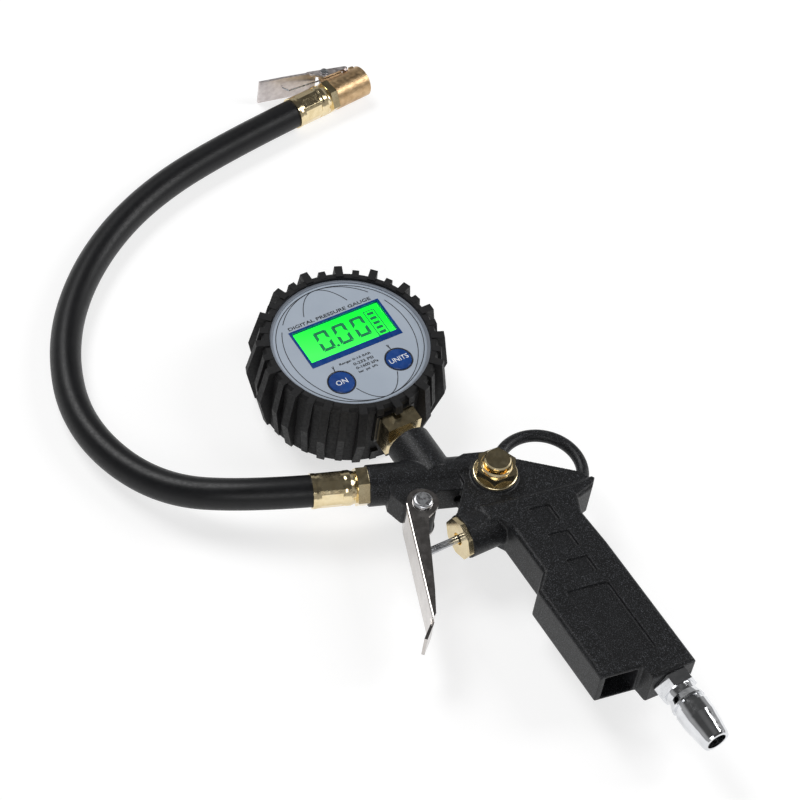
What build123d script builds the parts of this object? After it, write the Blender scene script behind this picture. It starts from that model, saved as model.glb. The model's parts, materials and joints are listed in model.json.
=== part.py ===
"""Pistol-grip tyre inflator with a rubber-booted digital gauge, a hose and a clip-on chuck.

Millimetres, +Z up. The inflator lies on its side on z = 0, dial facing +Z. The gun's own
plane is horizontal: the barrel runs along X, the grip points down and right (-Y, +X), and
the gauge stands on a stem that points up and left, in line with the grip.
"""
from build123d import *
import os
from math import cos, radians, sin, tan

os.makedirs("parts", exist_ok=True)

# ---------------------------------------------------------------- driving dimensions
gun_x = -10.65              # barrel axis crosses the gauge stem's axis here
gun_y = 13.39
gun_z = 20.6               # height of the gun's middle plane
grip_lean = 20.0           # degrees between the grip and the Y axis

dial_distance = 66.94      # along the stem, from the barrel axis to the dial centre
face_height = 10.4         # dial face above the gun's middle plane
face_r = 31.0
case_r = 33.0
case_wall = 1.8
case_depth = 29.0
boot_depth = face_height + gun_z
boot_r = 35.4
lug_count = 16
lug_r = 41.0
small_lug_r = 38.7

barrel_r = 8.2
barrel_front = -27.0
air_bore_r = 3.0
thread_r = 4.85            # small pipe thread on every brass fitting
casting_half = 9.0         # half the thickness of the grip
slab_half = 7.5            # half the thickness of the body above the grip
lug_half = 6.4             # half the thickness of the trigger's lug

valve_line = -28.2         # valve axis, along the grip frame's X
boss_end = -4.6            # where the valve boss's open end stands on that axis
valve_bore_r = 5.5
stem_r = 1.5
stem_clear = 0.05
pivot_x = -8.6
pivot_y = -15.4
pivot_r = 2.5
lever_wall = 1.2
lever_half = 8.0

bleed_x = 22.0
bleed_y = -5.5

plug_line = 31.3           # inlet plug's axis, in the grip frame
channel_r = 3.5

hose_r = 6.35
barb_r = 3.2
ferrule_r = 7.0
ferrule_length = 17.5
hose_inside = 16.0         # how far the hose goes into each ferrule
ferrule_mouth = -49.0      # near ferrule's mouth on the barrel axis

# ---------------------------------------------------------------- frames
up = Vector(0, 0, 1)
grip_x = Vector(cos(radians(grip_lean)), sin(radians(grip_lean)), 0)
grip_y = Vector(-sin(radians(grip_lean)), cos(radians(grip_lean)), 0)
gun = Plane(origin=(gun_x, gun_y, gun_z), x_dir=(1, 0, 0), z_dir=(0, 0, 1))
grip = Plane(origin=gun.origin, x_dir=grip_x, z_dir=up)
dial_centre = gun.origin + grip_y * dial_distance + up * face_height
dial = Plane(origin=dial_centre, x_dir=grip_x, z_dir=up)
dial_axis = Axis(dial_centre, up)
stem_line = Plane(origin=gun.origin, x_dir=grip_y, z_dir=up)
valve = Plane(origin=gun.origin + grip_y * valve_line, x_dir=grip_x, z_dir=up)
plug = Plane(origin=gun.origin + grip_x * plug_line, x_dir=-grip_y, z_dir=up)
bleed = Plane(origin=gun.origin + Vector(bleed_x, bleed_y, 0), x_dir=up, z_dir=(0, -1, 0))
bleed_level = Plane(origin=bleed.origin, x_dir=(1, 0, 0), z_dir=up)
near = Plane(origin=gun.origin + Vector(ferrule_mouth, 0, 0), x_dir=(1, 0, 0), z_dir=up)


def across(line, along, side=0.0, turn=None):
    """A plane square to line's X axis, at the distance along it."""
    origin = line.from_local_coords(Vector(along, side, 0))
    return Plane(origin=origin, x_dir=turn or line.y_dir, z_dir=line.x_dir)


def spin(line):
    """The axis that a turned part is revolved about."""
    return Axis(line.origin, line.x_dir)


def dial_section(angle):
    """An upright plane through the dial's centre: X outwards, Y up from the face."""
    outward = grip_x * cos(radians(angle)) + grip_y * sin(radians(angle))
    return Plane(origin=dial_centre, x_dir=outward, z_dir=outward.cross(up))


def save(piece, label):
    piece.part.label = label
    export_step(piece.part, f"parts/{label}.step")


# ---------------------------------------------------------------- the hose's route
# Straight out of the ferrule, down to the floor, and round in one open bend to the chuck.
hose_route = [
    (gun_x + x, gun_y + y, z)
    for x, y, z in (
        (-33.0, 0.0, gun_z),
        (-70.9, 0.0, gun_z),
        (-107.4, 15.6, 9.6),
        (-132.7, 51.1, 6.4),
        (-134.6, 94.1, 6.4),
        (-119.0, 135.1, 6.4),
        (-89.8, 170.6, 6.5),
        (-45.6, 198.8, 7.0),
        (-5.0, 219.2, 7.0),
    )
]


def route_radii(points):
    """Each arc takes 0.45 of the shorter run beside it."""
    radii = []
    for before, here, after in zip(points, points[1:], points[2:]):
        run_in = Vector(here) - Vector(before)
        run_out = Vector(after) - Vector(here)
        turn = run_in.get_angle(run_out)
        shorter = min(run_in.length, run_out.length)
        radii.append(0.45 * shorter / tan(radians(turn / 2)))
    return radii


hose_end = Vector(*hose_route[-1])
heading = (hose_end - Vector(*hose_route[-2])).normalized()
chuck_mouth_origin = hose_end - heading * hose_inside
far = Plane(origin=chuck_mouth_origin, x_dir=heading, z_dir=up)


# ---------------------------------------------------------------- the die-cast body
def make_body_casting():
    handle_outline = [
        (4.0, -31.5), (4.0, -22.8), (44.0, -30.6), (52.0, -30.6), (52.4, -32.6),
        (49.5, -35.6), (42.0, -37.2), (39.4, -44.0), (40.2, -60.0), (40.4, -119.6),
        (21.4, -118.6), (21.0, -112.8), (4.0, -109.7), (4.0, -66.6), (10.5, -60.2),
        (10.5, -36.0), (8.0, -31.5),
    ]
    slab_outline = [
        (8.0, -2.0), (9.0, 4.4), (12.0, 5.9), (20.0, 5.8), (31.0, 1.4), (56.5, -8.2), (59.0, -11.6),
        (50.0, -18.0), (30.0, -24.0), (10.0, -24.0), (3.6, -22.0), (9.4, -8.0),
    ]
    web_outline = [
        (-20.0, -2.0), (-20.0, -8.8), (-15.8, -14.6), (-13.4, -15.4), (-13.0, -18.0),
        (-11.6, -21.0), (-5.4, -21.2), (-4.0, -19.6), (-3.6, -11.6), (-1.6, -10.0),
        (12.0, -10.0), (12.0, -2.0),
    ]
    recess_tops = [(-33.3, 9.6), (-46.7, 9.8), (-60.0, 9.4)]
    recess_depth = 1.1
    recess_slope = 1.6
    grip_edge = 1.8
    loop_r = 17.0
    loop_rod_r = 2.5
    loop_x = 42.5
    loop_y = -0.5

    with BuildPart() as casting:
        with BuildSketch(grip.offset(-casting_half)):
            with BuildLine():
                Polyline(*handle_outline, close=True)
            make_face()
        extrude(amount=2 * casting_half)
        rims = casting.edges().group_by(Axis.Z)[0] + casting.edges().group_by(Axis.Z)[-1]
        fillet(rims.filter_by(lambda edge: edge.length > 6), radius=grip_edge)
        # hollow of the grip, open at the bottom
        with BuildSketch(grip.offset(-6.8)):
            with BuildLine():
                Polyline((6.2, -66.0), (19.4, -69.0), (19.4, -120.0), (6.2, -120.0), close=True)
            make_face()
        extrude(amount=13.6, mode=Mode.SUBTRACT)
        # sunken panels on both cheeks
        for side in (casting_half - recess_depth, -casting_half):
            with BuildSketch(grip.offset(side)):
                for top, tall in recess_tops:
                    with BuildLine():
                        Polyline((21.0, top), (29.5, top - recess_slope), (29.5, top - tall),
                                 (21.0, top - tall + recess_slope), close=True)
                    make_face()
                with BuildLine():
                    Polyline((13.0, -72.0), (30.0, -75.2), (30.0, -108.0), (13.0, -105.0),
                             close=True)
                make_face()
            extrude(amount=recess_depth, mode=Mode.SUBTRACT)
        # body above the grip, and the web with the trigger's lug
        with BuildSketch(gun.offset(-slab_half)):
            with BuildLine():
                Polyline(*slab_outline, close=True)
            make_face()
        extrude(amount=2 * slab_half)
        with BuildSketch(gun.offset(-lug_half)):
            with BuildLine():
                Polyline(*web_outline, close=True)
            make_face()
        extrude(amount=2 * lug_half)
        # barrel, gauge boss, valve boss and bleed boss
        with BuildSketch(across(near, barrel_front - ferrule_mouth)):
            Circle(barrel_r)
        extrude(amount=18.0 - barrel_front)
        with BuildSketch(across(stem_line, 0)):
            Circle(9.0)
        extrude(amount=20.0)
        with BuildSketch(across(valve, boss_end)):
            Circle(8.8)
        extrude(amount=14.0 - boss_end)
        with BuildSketch(grip.offset(-7.0)):
            with BuildLine():
                Polyline((boss_end, valve_line), (boss_end, valve_line + 6.6), (8.0, -20.0),
                         (8.0, valve_line), close=True)
            make_face()
        extrude(amount=14.0)
        with BuildSketch(bleed_level):
            Circle(9.3)
        extrude(amount=8.6)
        # hanging loop, cast on
        with BuildLine(gun) as loop_path:
            CenterArc((loop_x, loop_y), loop_r, -42.0, 206.0)
        with BuildSketch(Plane(origin=loop_path.line @ 0, z_dir=loop_path.line % 0)):
            Circle(loop_rod_r)
        sweep(path=loop_path.line)
        # air ways
        with BuildSketch(across(near, barrel_front - ferrule_mouth)):
            Circle(air_bore_r)
        extrude(amount=51.0, mode=Mode.SUBTRACT)
        with BuildSketch(across(near, barrel_front - ferrule_mouth)):
            Circle(thread_r)
        extrude(amount=9.5, mode=Mode.SUBTRACT)
        with BuildSketch(across(stem_line, 0)):
            Circle(2.0)
        extrude(amount=20.0, mode=Mode.SUBTRACT)
        with BuildSketch(across(stem_line, 9.5)):
            Circle(thread_r)
        extrude(amount=10.5, mode=Mode.SUBTRACT)
        with BuildSketch(across(valve, boss_end)):
            Circle(valve_bore_r)
        extrude(amount=24.0 - boss_end, mode=Mode.SUBTRACT)
        with BuildSketch(across(valve, 23.0)):
            Circle(2.5)
        extrude(amount=8.0, mode=Mode.SUBTRACT)
        with BuildSketch(across(stem_line, valve_line, side=-4.2)):
            Circle(1.8)
        extrude(amount=27.0, mode=Mode.SUBTRACT)
        with BuildSketch(across(plug, 24.0)):
            Circle(channel_r)
        extrude(amount=96.0, mode=Mode.SUBTRACT)
        with BuildSketch(across(plug, 108.5)):
            Circle(6.2)
        extrude(amount=16.0, mode=Mode.SUBTRACT)
        with BuildSketch(across(plug, 119.4)):
            Circle(8.5)
        extrude(amount=6.0, mode=Mode.SUBTRACT)
        with BuildSketch(across(valve, boss_end - 4.0)):
            Circle(8.9)
        extrude(amount=4.0, mode=Mode.SUBTRACT)
        with BuildSketch(bleed_level.offset(-5.0)):
            Circle(4.5)
        extrude(amount=14.0, mode=Mode.SUBTRACT)
        # trigger pin's hole
        with BuildSketch(gun.offset(-casting_half)):
            with Locations((pivot_x, pivot_y)):
                Circle(pivot_r)
        extrude(amount=2 * casting_half, mode=Mode.SUBTRACT)
    save(casting, "body_casting")


# ---------------------------------------------------------------- inlet
def make_inlet_plug():
    nose_bore_r = 3.9
    with BuildPart() as inlet_plug:
        with BuildSketch(plug):
            with BuildLine():
                Polyline((109.0, 0), (109.0, 6.2), (119.4, 6.2), (124.4, 6.2), (126.0, 6.0),
                         (127.0, 6.0), (129.6, 7.0), (130.4, 7.0), (130.4, 6.1), (132.6, 6.1),
                         (132.6, 7.0), (137.4, 7.0), (147.8, 5.6), (148.6, 5.2), (148.6, 0),
                         close=True)
            make_face()
        revolve(axis=spin(plug))
        with BuildSketch(across(plug, 119.4)):
            RegularPolygon(radius=7.0, side_count=6, major_radius=False)
        extrude(amount=5.0)
        with BuildSketch(across(plug, 109.0)):
            Circle(3.4)
        extrude(amount=40.0, mode=Mode.SUBTRACT)
        with BuildSketch(across(plug, 142.6)):
            Circle(nose_bore_r)
        extrude(amount=6.1, mode=Mode.SUBTRACT)
    save(inlet_plug, "inlet_plug")


# ---------------------------------------------------------------- trigger and main valve
def make_trigger_lever():
    plate = [
        (-15.0, -15.4), (-15.5, -19.0), (-15.5, -68.0), (-13.6, -66.0), (-11.8, -55.0),
        (-10.0, -40.0), (-9.0, -30.0), (-7.6, -22.6), (-4.4, -19.9), (-8.6, -15.4),
    ]
    hollow = [
        (-14.3, -15.2), (-14.3, -70.0), (0.0, -70.0), (0.0, -8.0), (-16.0, -8.0),
        (-16.0, -15.2),
    ]
    tail = [
        (-15.5, -66.0), (-14.3, -66.0), (-14.5, -68.4), (-18.5, -75.4), (-19.6, -74.8),
        (-15.6, -68.0),
    ]
    tail_half = 5.4
    with BuildPart() as trigger_lever:
        with BuildSketch(gun.offset(-lever_half)):
            with BuildLine():
                Polyline(*plate, close=True)
            make_face()
            with Locations((pivot_x, pivot_y)):
                Circle(6.2)
        extrude(amount=2 * lever_half)
        corners = trigger_lever.edges().filter_by(Axis.Y).group_by(Axis.X)[0]
        fillet(corners.filter_by(GeomType.LINE), radius=0.9)
        with BuildSketch(gun.offset(-lever_half + lever_wall)):
            with BuildLine():
                Polyline(*hollow, close=True)
            make_face()
        extrude(amount=2 * (lever_half - lever_wall), mode=Mode.SUBTRACT)
        with BuildSketch(gun.offset(-tail_half)):
            with BuildLine():
                Polyline(*tail, close=True)
            make_face()
        extrude(amount=2 * tail_half)
        with BuildSketch(gun.offset(-lever_half)):
            with Locations((pivot_x, pivot_y)):
                Circle(pivot_r + stem_clear)
        extrude(amount=2 * lever_half, mode=Mode.SUBTRACT)
    save(trigger_lever, "trigger_lever")


def make_trigger_pin():
    head_gap = 0.2
    pin_origin = gun.origin + Vector(pivot_x, pivot_y, 0)
    section = Plane(origin=pin_origin, x_dir=(1, 0, 0), z_dir=(0, -1, 0))
    under = lever_half + head_gap
    with BuildPart() as trigger_pin:
        with BuildSketch(section):
            with BuildLine():
                Line((0, -under - 1.2), (3.4, -under - 1.2))
                Line((3.4, -under - 1.2), (3.4, -under))
                Line((3.4, -under), (pivot_r, -under))
                Line((pivot_r, -under), (pivot_r, under))
                Line((pivot_r, under), (4.0, under))
                Line((4.0, under), (4.0, under + 1.5))
                Line((4.0, under + 1.5), (0, under + 1.5))
                Line((0, under + 1.5), (0, -under - 1.2))
            make_face()
        revolve(axis=Axis(pin_origin, up))
        fillet(trigger_pin.edges().group_by(Axis.Z)[-1], radius=1.2)
    save(trigger_pin, "trigger_pin")


def make_valve_gland():
    with BuildPart() as valve_gland:
        with BuildSketch(across(valve, boss_end)):
            Circle(valve_bore_r)
        extrude(amount=8.0 - boss_end)
        with BuildSketch(across(valve, boss_end - 2.0)):
            RegularPolygon(radius=8.0, side_count=8, major_radius=False)
        extrude(amount=2.0)
        chamfer(valve_gland.edges().filter_by(GeomType.LINE).group_by(SortBy.LENGTH)[0],
                length=0.4)
        with BuildSketch(across(valve, -7.2)):
            Circle(stem_r + stem_clear)
        extrude(amount=16.0, mode=Mode.SUBTRACT)
        with BuildSketch(across(valve, boss_end - 2.0)):
            Circle(2.6)
        extrude(amount=1.2, mode=Mode.SUBTRACT)
        with BuildSketch(across(valve, -1.6)):
            Circle(2.9)
        extrude(amount=2.0, mode=Mode.SUBTRACT)
        with BuildSketch(across(valve, 2.2)):
            Circle(3.0)
        extrude(amount=6.0, mode=Mode.SUBTRACT)
        with BuildSketch(across(stem_line, valve_line - 7.0, side=-4.2)):
            Circle(1.2)
        extrude(amount=14.0, mode=Mode.SUBTRACT)
    save(valve_gland, "valve_gland")


def make_gland_seal():
    with BuildPart() as gland_seal:
        with BuildSketch(valve):
            with Locations((-0.6, 2.25)):
                Circle(0.64)
        revolve(axis=spin(valve))
    save(gland_seal, "gland_seal")


def make_valve_stem():
    stem_tip = -25.0
    with BuildPart() as valve_stem:
        with BuildSketch(valve):
            with BuildLine():
                Line((stem_tip, 0), (stem_tip + stem_r, stem_r), mode=Mode.PRIVATE)
                RadiusArc((stem_tip, 0), (stem_tip + stem_r, stem_r), stem_r)
                Line((stem_tip + stem_r, stem_r), (11.5, stem_r))
                Line((11.5, stem_r), (11.5, 0))
                Line((11.5, 0), (stem_tip, 0))
            make_face()
        revolve(axis=spin(valve))
    save(valve_stem, "valve_stem")


def make_valve_poppet():
    with BuildPart() as valve_poppet:
        with BuildSketch(valve):
            with BuildLine():
                Polyline((9.5, stem_r), (9.5, 4.6), (11.5, 4.6), (11.5, 2.1), (13.0, 2.1),
                         (13.0, 0), (11.5, 0), (11.5, stem_r), close=True)
            make_face()
        revolve(axis=spin(valve))
    save(valve_poppet, "valve_poppet")

    with BuildPart() as poppet_seal:
        with BuildSketch(across(valve, 8.1)):
            Circle(4.4)
            Circle(stem_r, mode=Mode.SUBTRACT)
        extrude(amount=1.4)
    save(poppet_seal, "poppet_seal")


def make_coil(line, start, length, turns, radius, wire_r, label):
    """A compression spring along line's X axis, its ends just inside start and length."""
    seat = across(line, start + wire_r).origin
    pitch = (length - 2 * wire_r) / turns
    with BuildPart() as coil:
        with BuildLine() as path:
            Helix(pitch=pitch, height=pitch * turns, radius=radius, center=seat,
                  direction=line.x_dir)
        with BuildSketch(Plane(origin=path.line @ 0, z_dir=path.line % 0)):
            Circle(wire_r)
        sweep(path=path.line, is_frenet=True)
    save(coil, label)


# ---------------------------------------------------------------- bleed valve
def make_bleed_valve():
    with BuildPart() as bleed_washer:
        with BuildSketch(bleed_level.offset(8.6)):
            Circle(8.9)
            Circle(4.7, mode=Mode.SUBTRACT)
        extrude(amount=1.0)
        fillet(bleed_washer.edges().group_by(Axis.Z)[-1].sort_by(SortBy.LENGTH)[-1], radius=0.6)
    save(bleed_washer, "bleed_washer")

    with BuildPart() as bleed_nut:
        with BuildSketch(bleed_level.offset(3.5)):
            Circle(4.5)
        extrude(amount=6.1)
        with BuildSketch(bleed_level.offset(9.6)):
            RegularPolygon(radius=7.25, side_count=6, major_radius=False, rotation=15)
        extrude(amount=4.4)
        with BuildSketch(bleed_level.offset(14.0)):
            Circle(6.3)
        extrude(amount=0.8, taper=35)
        with BuildSketch(bleed_level.offset(3.5)):
            Circle(2.06)
        extrude(amount=12.0, mode=Mode.SUBTRACT)
        with BuildSketch(bleed_level.offset(12.2)):
            Circle(4.3)
        extrude(amount=3.0, mode=Mode.SUBTRACT)
    save(bleed_nut, "bleed_nut")

    with BuildPart() as bleed_button:
        with BuildSketch(bleed):
            with BuildLine():
                Polyline((1.0, 0), (1.0, 2.0), (14.0, 2.0), (14.0, 3.7), (16.0, 3.9),
                         (16.2, 5.1), (17.1, 5.25), (17.7, 4.8), (17.7, 0), close=True)
            make_face()
        revolve(axis=spin(bleed))
    save(bleed_button, "bleed_button")

    with BuildPart() as bleed_poppet:
        with BuildSketch(bleed_level.offset(1.0)):
            Circle(4.0)
            Circle(2.0, mode=Mode.SUBTRACT)
        extrude(amount=1.4)
    save(bleed_poppet, "bleed_poppet")

    with BuildPart() as bleed_seal:
        with BuildSketch(bleed_level.offset(2.4)):
            Circle(3.9)
            Circle(2.0, mode=Mode.SUBTRACT)
        extrude(amount=1.0)
    save(bleed_seal, "bleed_seal")


# ---------------------------------------------------------------- hose and its fittings
def make_ferrule(line, label):
    """A crimped brass sleeve; line's origin is its mouth and X points to the fitting."""
    with BuildPart() as ferrule:
        with BuildSketch(line):
            with BuildLine():
                Polyline((0, hose_r), (0, ferrule_r), (1.2, ferrule_r), (2.2, 6.85),
                         (12.6, 6.85), (13.4, ferrule_r), (15.0, ferrule_r), (16.2, 6.5),
                         (ferrule_length, 6.2), (ferrule_length, 3.4), (hose_inside, 3.4),
                         (hose_inside, hose_r), close=True)
            make_face()
        revolve(axis=spin(line))
        with BuildSketch(across(line, 3.2)):
            Circle(ferrule_r + 2)
            RegularPolygon(radius=6.62, side_count=8, major_radius=False, mode=Mode.SUBTRACT)
        extrude(amount=8.4, mode=Mode.SUBTRACT)
    save(ferrule, label)


def make_fitting(line, hex_half, hex_length, thread_length, label):
    """Barb inside the hose, hexagon, and the thread that screws into the next part."""
    hex_start = ferrule_length
    thread_end = hex_start + hex_length + thread_length
    with BuildPart() as fitting:
        with BuildSketch(across(line, 1.0)):
            Circle(barb_r)
        extrude(amount=thread_end - 1.0)
        with BuildSketch(across(line, hex_start, turn=line.y_dir)):
            RegularPolygon(radius=hex_half, side_count=6, major_radius=False)
        extrude(amount=hex_length)
        with BuildSketch(across(line, hex_start + hex_length)):
            Circle(thread_r)
        extrude(amount=thread_length)
        with BuildSketch(across(line, 1.0)):
            Circle(1.7)
        extrude(amount=thread_end, mode=Mode.SUBTRACT)
    save(fitting, label)


def make_hose():
    radii = route_radii(hose_route)
    print("hose arc radii", [round(radius, 1) for radius in radii])
    barb_depth = hose_inside - 1.0
    with BuildPart() as hose:
        with BuildLine() as path:
            FilletPolyline(*hose_route, radius=radii)
        with BuildSketch(Plane(origin=path.line @ 0, z_dir=path.line % 0)):
            Circle(hose_r)
        sweep(path=path.wire())
        expected = path.wire().length * 3.14159265 * hose_r ** 2
        print("hose length", round(path.wire().length, 1),
              "volume / section x length", round(hose.part.volume / expected, 4))
        with BuildSketch(across(near, 1.0)):
            Circle(barb_r)
        extrude(amount=barb_depth, mode=Mode.SUBTRACT)
        with BuildSketch(across(far, 1.0)):
            Circle(barb_r)
        extrude(amount=barb_depth, mode=Mode.SUBTRACT)
    save(hose, "hose")


# ---------------------------------------------------------------- clip-on chuck
chuck_back = ferrule_length + 3.3
chuck_front = 38.5
chuck_bore_r = 4.05
pin_along = 22.6
pin_side = 8.0
pin_r = 1.0
ear_in = 5.75
ear_out = 6.75


def make_chuck():
    block = [(chuck_back, 0), (chuck_back, 9.4), (21.6, 9.9), (23.0, 9.4), (31.0, 6.2),
             (36.5, 5.4), (36.5, 0)]
    block_half = 5.4
    with BuildPart() as chuck_body:
        with BuildSketch(across(far, chuck_back)):
            Circle(6.9)
        extrude(amount=chuck_front - chuck_back)
        chamfer(chuck_body.edges().filter_by(GeomType.CIRCLE), length=0.4)
        with BuildSketch(far.offset(-block_half)):
            with BuildLine():
                Polyline(*block, close=True)
            make_face()
        extrude(amount=2 * block_half)
        # thread, seal chamber and mouth
        with BuildSketch(across(far, chuck_back)):
            Circle(thread_r)
        extrude(amount=27.0 - chuck_back, mode=Mode.SUBTRACT)
        with BuildSketch(across(far, 27.0)):
            Circle(4.6)
        extrude(amount=2.6, mode=Mode.SUBTRACT)
        with BuildSketch(across(far, 29.6)):
            Circle(chuck_bore_r)
        extrude(amount=10.0, mode=Mode.SUBTRACT)
        # slot for the claw, notch for the spring, hole for the pin
        with BuildSketch(far.offset(-7.5)):
            with Locations((32.2, 6.8)):
                Rectangle(4.2, 6.0)
        extrude(amount=15.0, mode=Mode.SUBTRACT)
        with BuildSketch(far.offset(-2.2)):
            with Locations((22.2, 8.6)):
                Rectangle(4.8, 5.0)
        extrude(amount=4.4, mode=Mode.SUBTRACT)
        with BuildSketch(far.offset(-block_half)):
            with Locations((pin_along, pin_side)):
                Circle(pin_r)
        extrude(amount=2 * block_half, mode=Mode.SUBTRACT)
    save(chuck_body, "chuck_body")

    with BuildPart() as valve_depressor:
        with BuildSketch(across(far, 27.0)):
            Circle(4.6)
            with PolarLocations(3.0, 4):
                Circle(0.8, mode=Mode.SUBTRACT)
        extrude(amount=1.0)
        with BuildSketch(across(far, 28.0)):
            Circle(0.9)
        extrude(amount=1.4)
    save(valve_depressor, "valve_depressor")

    with BuildPart() as chuck_seal:
        with BuildSketch(across(far, 28.0)):
            Circle(4.6)
            Circle(2.0, mode=Mode.SUBTRACT)
        extrude(amount=1.6)
    save(chuck_seal, "chuck_seal")


def make_chuck_lever():
    handle = [(-5.2, 19.0), (6.0, 15.6), (19.6, 11.0), (19.6, 9.9), (6.0, 14.5), (-5.4, 18.0)]
    claw = [(31.2, 6.8), (32.6, 6.3), (33.2, 4.4), (32.3, 4.25), (31.2, 5.4)]
    ear = [(16.0, 12.2), (32.8, 6.2), (33.2, 5.2), (31.4, 5.0), (21.0, 5.6), (17.4, 9.4)]
    plate_half = 6.3
    with BuildPart() as chuck_lever:
        with BuildSketch(far.offset(-plate_half)):
            with BuildLine():
                Polyline(*handle, close=True)
            make_face()
        extrude(amount=2 * plate_half)
        for level in (ear_in, -ear_out):
            with BuildSketch(far.offset(level)):
                with BuildLine():
                    Polyline(*ear, close=True)
                make_face()
                with Locations((pin_along, pin_side)):
                    Circle(pin_r + stem_clear, mode=Mode.SUBTRACT)
            extrude(amount=ear_out - ear_in)
        with BuildSketch(far.offset(-ear_in)):
            with BuildLine():
                Polyline(*claw, close=True)
            make_face()
        extrude(amount=2 * ear_in)
    save(chuck_lever, "chuck_lever")

    head_gap = 0.3
    with BuildPart() as chuck_pin:
        with BuildSketch(far.offset(-ear_out)):
            with Locations((pin_along, pin_side)):
                Circle(pin_r)
        extrude(amount=2 * ear_out + head_gap)
        with BuildSketch(far.offset(ear_out + head_gap)):
            with Locations((pin_along, pin_side)):
                Circle(1.7)
        extrude(amount=0.4)
    save(chuck_pin, "chuck_pin")


def make_chuck_spring():
    wire_r = 0.35
    coil_r = pin_r + wire_r + 0.08
    pin_point = far.from_local_coords(Vector(pin_along, pin_side, 0))
    leg = [(pin_along - 0.6, pin_side + 0.9, 1.3), (6.2, 11.2, 1.3), (4.7, 14.3, 1.3)]
    with BuildPart() as chuck_spring:
        for level in (-1.3, -0.65, 0, 0.65, 1.3):
            centre = pin_point + up * level
            ring = Plane(origin=centre, x_dir=heading, z_dir=heading.cross(up))
            with BuildSketch(ring):
                with Locations((coil_r, 0)):
                    Circle(wire_r)
            revolve(axis=Axis(centre, up))
        for start, end in zip(leg, leg[1:]):
            first = far.from_local_coords(Vector(*start))
            last = far.from_local_coords(Vector(*end))
            with BuildSketch(Plane(origin=first, z_dir=last - first)):
                Circle(wire_r)
            extrude(amount=(last - first).length)
    save(chuck_spring, "chuck_spring")


# ---------------------------------------------------------------- gauge: boot and case
lcd_x = 0.85
lcd_y = 5.0
lcd_wide = 41.7
lcd_tall = 20.0
button_x = 13.2
button_y = -15.9
button_r = 5.2
post_spots = [(60, 27.0), (120, 27.0), (207, 27.0), (333, 27.0)]


def post_points():
    return [(r * cos(radians(a)), r * sin(radians(a))) for a, r in post_spots]


def make_gauge_boot():
    large = [(32.6, 0.5), (32.6, 2.5), (38.0, 2.5), (lug_r, -14.5), (36.6, -boot_depth),
             (34.0, -boot_depth), (34.0, 0.5)]
    small = [(32.8, 0.5), (32.8, 2.1), (36.4, 2.1), (small_lug_r, -14.5),
             (35.9, -boot_depth), (34.0, -boot_depth), (34.0, 0.5)]
    pitch = 360.0 / lug_count
    window_half = 11.5
    with BuildPart() as gauge_boot:
        for index in range(lug_count):
            for outline, half, angle in ((large, 1.6, index * pitch),
                                         (small, 1.4, (index + 0.5) * pitch)):
                with BuildSketch(dial_section(angle)):
                    with BuildLine():
                        Polyline(*outline, close=True)
                    make_face()
                extrude(amount=half, both=True)
        # the opening that the square stem and its boss stand in
        with BuildSketch(dial.offset(-24.5)):
            with Locations((0, -40.0)):
                Rectangle(2 * window_half, 20.0)
        extrude(amount=23.0, mode=Mode.SUBTRACT)
        with BuildSketch(dial_section(0)):
            with BuildLine():
                Polyline((33.05, -case_depth), (33.05, 0.1), (32.3, 0.1), (32.3, 1.9),
                         (34.4, 1.9), (boot_r, 0.6), (boot_r, -boot_depth),
                         (28.0, -boot_depth), (28.0, -case_depth), close=True)
            make_face()
        revolve(axis=dial_axis)
        with BuildSketch(across(stem_line, 28.0)):
            with Locations((0, 0)):
                Rectangle(17.4, 17.4)
        extrude(amount=9.0, mode=Mode.SUBTRACT)
    save(gauge_boot, "gauge_boot")


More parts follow.
